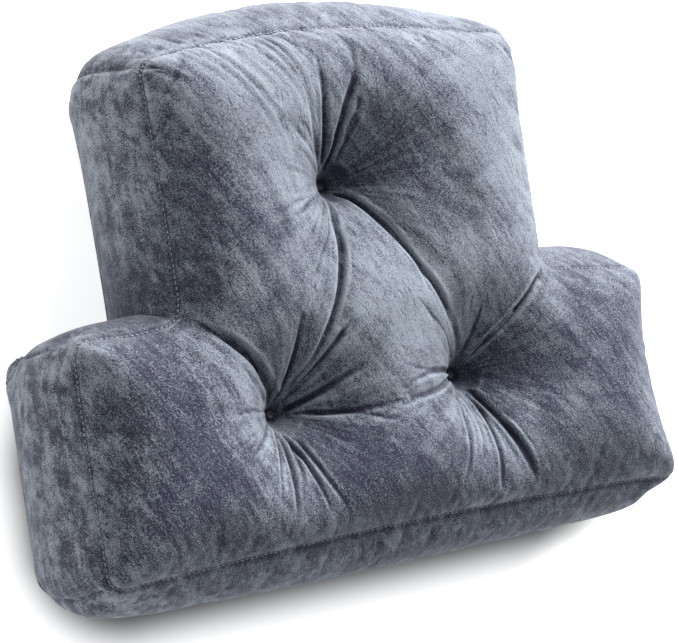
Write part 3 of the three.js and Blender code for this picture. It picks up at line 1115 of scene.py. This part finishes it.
# %% Noises of the pile
NOISES = {
    # a cloud's length along x, y and z in mm, its turn in degrees, detail, roughness and warp
    "patches": ((34, 34, 34), 0, 3, 0.55, 0.6),
    "smears": ((16, 36, 10), 8, 3, 0.55, 0.5),
    "strokes": ((90, 12, 24), -52, 2.5, 0.55, 0.3),
    "brush": ((22, 4.6, 11), -62, 2, 0.55, 0),
    "wisps": ((40, 11, 14), -70, 2, 0.45, 0.8),
    "grain": ((1.9, 0.7, 0.9), -52, 1, 0.6, 0),
}
MARKS = ("fold_shade_and_highlight", "lay_and_painted_light", "crushed")

plush, shader, place = new_finish("plush_pile")
patches, smears, strokes, brush, wisps, grain = (
    place.clouds([MM * length for length in size], *row) for size, *row in NOISES.values())
fold_shade_and_highlight, lay_and_painted_light, crushed = (
    place.add("ShaderNodeAttribute", {"attribute_name": name}, None, "Fac") for name in MARKS)
print(len(NOISES), "noises and", len(MARKS), "marks")

# %% [markdown]
# Round a tuft the cloth is stretched, and the pile opens in lines that run out from the needle.
# That is a noise as well, read by the direction from the tuft and, much more slowly, by the
# distance, so that its clouds become rays.

# %% Stretch lines round the tufts
RAY_WIDTH = 0.10
RAY_LENGTH = 0.14
RAY_REACH = 0.19
MIDDLE = 0.5


def rays(place, tuft):
    """Stretch lines that run out from a tuft and fade with the distance."""
    flat = place.vector("MULTIPLY_ADD", (1, 1, 0), (-tuft.x, -tuft.y, 0))
    reach = flat.vector("LENGTH", out="Value")
    away = reach.add("ShaderNodeCombineXYZ", None, {"Z": reach * (1 / RAY_LENGTH)})
    polar = flat.vector("NORMALIZE").vector("MULTIPLY_ADD", (1 / RAY_WIDTH, 1 / RAY_WIDTH, 0), away)
    lines = polar.clouds((1, 1, 1), detail=3, rough=0.65)
    return (1 - reach * (1 / RAY_REACH)).limit() * (lines - MIDDLE)


pulled = rays(place, tufts["top"]) + rays(place, tufts["left"]) + rays(place, tufts["right"])
print("stretch lines round", len(tufts), "tufts")

# %% [markdown]
# The nap says how pale the pile is, from 0 to 1. Broad things, among them the broad tones of painted
# light and shade, are summed first and kept inside their range, so that the fine ones still show in the
# palest and the darkest patches. The fine ones are then added, and last the painted shade of the folds
# and the painted highlight of the ridges.

# %% Sum the nap
NAP_START = 0.37
NAP_ENDS = (0.02, 0.82)
BLOTCH_GAIN = 2.6
BLOTCH_SHARE = 0.30
SMEAR_SHARE = 2.2
STROKE_SHARE, STROKE_CRUSHED = 1.1, 0.4
PULL_SHARE = 1.5
LAY_LIGHT_SHARE, LAY_LIGHT_PATCHY = 0.4, 1.2
BRUSH_SHARE = 0.8
GRAIN_SHARE, GRAIN_CRUSHED = 2.4, 0.4
MARK_FROM, MARK_GAIN, MARK_SHARE = 0.58, 4, 0.25
LINE_GAIN, LINE_PATCHY, LINE_SHARE = 260, 6, 0.26
PAINTED_FOLD_GAIN = 0.42

blotches = (BLOTCH_GAIN * (patches - MIDDLE) + MIDDLE).limit() - MIDDLE
# The broad ovals add pile lay together with painted light and shade.
broad = (NAP_START + BLOTCH_SHARE * (1 + crushed) * blotches + SMEAR_SHARE * crushed * (smears - MIDDLE)
         + (STROKE_SHARE + STROKE_CRUSHED * crushed) * (strokes - MIDDLE) + PULL_SHARE * pulled
         + lay_and_painted_light * (LAY_LIGHT_SHARE + LAY_LIGHT_PATCHY * patches)).limit(*NAP_ENDS)
marks = (MARK_GAIN * (brush - MARK_FROM)).limit()
lines = (1 - LINE_GAIN * (wisps - MIDDLE) * (wisps - MIDDLE)).limit()
lines = lines * (LINE_PATCHY * (patches - MIDDLE)).limit()
fine = (BRUSH_SHARE * (1 + crushed) * (brush - MIDDLE)
        + GRAIN_SHARE * (1 + GRAIN_CRUSHED * crushed) * (grain - MIDDLE)
        - MARK_SHARE * marks - LINE_SHARE * lines)
# The fold mark paints shade into folds and the seam line, and a highlight onto ridges.
nap = (broad + fine - PAINTED_FOLD_GAIN * fold_shade_and_highlight).limit()
print("broad nap lies between", *NAP_ENDS)

# %% [markdown]
# The nap mixes a dark and a pale tone. Pale pile is a little less rough, and a constant sheen
# stands for the pile tips that light up where the surface turns away. The same noises raise a
# very low relief.

# %% Plush finish
PILE_DARK = (0.0285, 0.0285, 0.053, 1)
PILE_PALE = (0.272, 0.305, 0.350, 1)
ROUGH_DARK, ROUGH_DROP = 0.92, 0.14
GRAIN_RELIEF, BRUSH_RELIEF, PULL_RELIEF, LINE_RELIEF = 0.45, 0.3, 0.8, 0.5
RELIEF_STRENGTH = 0.6
RELIEF_HEIGHT = 1.3 * MM

feed(shader, "Base Color", nap.blend(PILE_DARK, PILE_PALE))
feed(shader, "Roughness", (ROUGH_DARK - ROUGH_DROP * nap).limit())
relief = GRAIN_RELIEF * grain + BRUSH_RELIEF * brush + PULL_RELIEF * pulled - LINE_RELIEF * lines
feed(shader, "Normal", relief.bump(RELIEF_STRENGTH, RELIEF_HEIGHT))
set_constants(shader, {"Sheen Weight": 0.30, "Sheen Roughness": 0.45,
                       "Sheen Tint": (0.86, 0.91, 1.0, 1), "Specular IOR Level": 0.15})
cushion.data.materials.append(plush)
print("plush has", len(plush.node_tree.nodes), "nodes")

# %% [markdown]
# Thread and button cloth are plain: two near tones, mixed by the twist or the weave.

# %% Thread and button finishes
THREAD_DARK = (0.10, 0.11, 0.14, 1)
THREAD_PALE = (0.46, 0.49, 0.54, 1)
TWIST = 3 * MM
TWIST_GAIN, TWIST_DROP = 1.6, 0.3
BUTTON_DARK = (0.012, 0.013, 0.018, 1)
BUTTON_PALE = (0.045, 0.050, 0.064, 1)
WEAVE = 0.6 * MM
WEAVE_GAIN, WEAVE_DROP = 1.4, 0.2
WEAVE_STRENGTH = 0.5
WEAVE_HEIGHT = 0.3 * MM

thread_finish, shader, place = new_finish("seam_thread")
twist = place.clouds((TWIST,) * 3, detail=1)
feed(shader, "Base Color", (TWIST_GAIN * twist - TWIST_DROP).limit().blend(THREAD_DARK, THREAD_PALE))
set_constants(shader, {"Roughness": 0.6})
for thread in (face_thread, back_thread):
    thread.data.materials.append(thread_finish)

button_finish, shader, place = new_finish("button_cloth")
weave = place.clouds((WEAVE,) * 3, detail=2)
feed(shader, "Base Color", (WEAVE_GAIN * weave - WEAVE_DROP).limit().blend(BUTTON_DARK, BUTTON_PALE))
feed(shader, "Normal", weave.bump(WEAVE_STRENGTH, WEAVE_HEIGHT))
set_constants(shader, {"Roughness": 0.45})
for copy in buttons.values():
    copy.data.materials.append(button_finish)
print("finishes", [finish.name for finish in (plush, thread_finish, button_finish)])

# %% [markdown]
# ## The studio
#
# The cushion lies on its back on a plain pale floor, so the camera looks down at it. A large soft lamp
# stands past its top right corner, low enough to leave the walls of the tufts in shade, and the pale
# surroundings fill the rest. The floor itself glows evenly like a lit sheet of paper, and a soft shadow
# is painted in a border under the base: there the floor's colour is darker and it does not glow.

# %% Floor, with a painted shadow under the base
FLOOR_SIZE = 60
FLOOR_TONE = (0.92, 0.92, 0.92, 1)
FLOOR_GLOW = 0.84
SHADE_AT = (34 * MM, -150 * MM, 0)
SHADE_HALF = (232 * MM, 27 * MM, 0)
SHADE_ROUND = 70 * MM
SHADE_FADE = 44 * MM
SHADE_TONE = (0.32, 0.32, 0.32, 1)
NO_GLOW = (0, 0, 0, 1)
CLOUD = (0.8, 0.8, 0.8)
FLOOR_ROUGH, FLOOR_VARY = 0.75, 0.1

bpy.ops.object.select_all(action="DESELECT")
bpy.ops.mesh.primitive_plane_add(size=FLOOR_SIZE, location=(0, 0, 0))
floor = bpy.context.object
floor.name = "studio_floor"
floor_finish, shader, place = new_finish("pale_floor")
feed(shader, "Roughness", (FLOOR_ROUGH + FLOOR_VARY * place.clouds(CLOUD, detail=1)).limit())
# Painted shadow: a rounded box under the base where the floor is darker and does not glow.
from_base = place.vector("SUBTRACT", SHADE_AT).vector("ABSOLUTE")
from_base = from_base.vector("SUBTRACT", SHADE_HALF).vector("MAXIMUM", (0, 0, 0))
clear = ((from_base.vector("LENGTH", out="Value") - SHADE_ROUND) * (1 / SHADE_FADE)).limit()
clear = clear * clear * (3 - 2 * clear)  # the ease curve, level at both ends
feed(shader, "Base Color", clear.blend(SHADE_TONE, FLOOR_TONE))
feed(shader, "Emission Color", clear.blend(NO_GLOW, FLOOR_TONE))
set_constants(shader, {"Emission Strength": FLOOR_GLOW})
floor.data.materials.append(floor_finish)
print("floor", FLOOR_SIZE, "m wide")

# %% Light and surroundings
LAMP_AT = Vector((1.6, 1.9, 1.45))
LAMP_SIZE = 2.4
LAMP_POWER = 225
FILL_TONE = (0.96, 0.98, 1.0, 1)
FILL_STRENGTH = 0.40

bpy.ops.object.light_add(type="AREA", location=LAMP_AT,
                         rotation=(-LAMP_AT).to_track_quat("-Z", "Y").to_euler())
lamp = bpy.context.object
lamp.name = "soft_lamp"
lamp.data.size = LAMP_SIZE
lamp.data.energy = LAMP_POWER

surroundings = bpy.data.worlds.new("surroundings")
surroundings.use_nodes = True
set_constants(surroundings.node_tree.nodes["Background"],
              {"Color": FILL_TONE, "Strength": FILL_STRENGTH})
bpy.context.scene.world = surroundings
bpy.context.scene.view_settings.view_transform = "Standard"
print("lamp", LAMP_POWER, "W, fill", FILL_STRENGTH)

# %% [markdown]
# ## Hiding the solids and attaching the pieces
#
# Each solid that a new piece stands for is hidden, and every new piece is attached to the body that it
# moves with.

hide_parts("pillow")
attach(cushion, "root")
for thread in (face_thread, back_thread):
    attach(thread, "root")
for name, copy in buttons.items():
    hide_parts("tuft_button_" + name)
    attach(copy, "root")
